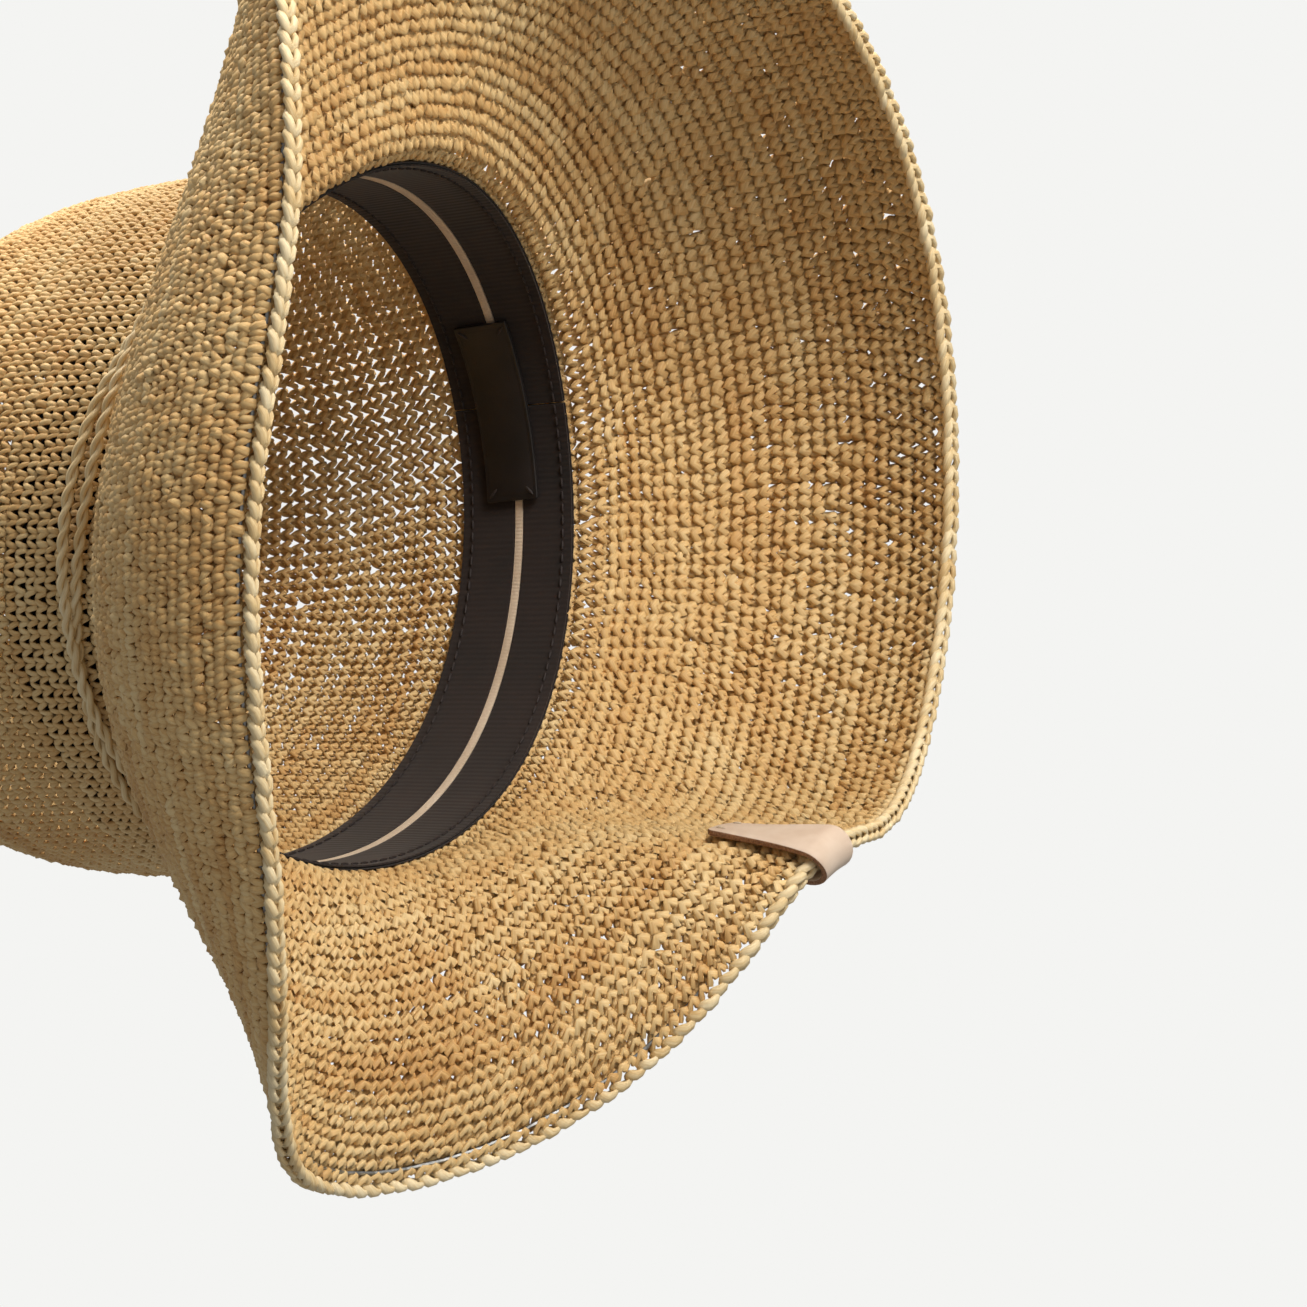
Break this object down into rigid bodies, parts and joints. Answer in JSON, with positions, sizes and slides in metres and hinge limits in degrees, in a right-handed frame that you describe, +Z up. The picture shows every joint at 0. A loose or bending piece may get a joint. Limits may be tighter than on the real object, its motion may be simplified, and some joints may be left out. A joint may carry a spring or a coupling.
{
  "type": "cowboy hat",
  "caption": "Crocheted raffia cowboy hat with a creased crown, a wide drooping brim, a twisted cord band, a cloth sweatband and a leather edge tab.",
  "frame": {"origin": "middle of the head opening, on the line where the brim breaks away from the crown", "axes": "+Z up the crown, -Y to the front of the hat, +X to the wearer's left"},
  "size_m": [0.3181, 0.2987, 0.228],
  "materials": {
    "raffia": "crocheted natural raffia, dry and slightly glossy",
    "raffia_cord": "twisted and braided natural raffia",
    "wire": "drawn steel",
    "sweatband_cloth": "matt ribbed cotton",
    "lace": "flat woven cotton lace",
    "thread": "waxed sewing thread",
    "label_leather": "smooth black leather",
    "tab_leather": "natural undyed leather, smooth grain, raw brown edge",
    "tab_thread": "waxed sewing thread"
  },
  "bodies": {
    "hat": {"crown": "raffia", "brim": "raffia", "edge_braid": "raffia_cord", "brim_wire": "wire", "wire_join_sleeve": "wire", "sweatband_lower_fold": "sweatband_cloth", "sweatband_upper_fold": "sweatband_cloth", "sweatband_backing": "sweatband_cloth", "sizing_lace": "lace", "sweatband_lower_thread": "thread", "sweatband_upper_thread": "thread", "label_patch": "label_leather", "label_stitch_1": "thread", "label_stitch_2": "thread", "label_stitch_3": "thread", "label_stitch_4": "thread", "edge_tab": "tab_leather", "tab_stitch_1": "tab_thread", "tab_stitch_2": "tab_thread"},
    "hat_band": {"hat_band_upper_cord": "raffia_cord", "hat_band_lower_cord": "raffia_cord", "hat_band_knot": "raffia_cord"}
  },
  "joints": [
    {"name": "hat_band_slide", "type": "slide", "parent": "hat", "child": "hat_band", "axis": [0, 0, 1], "range_m": [0, 0.03]}
  ]
}
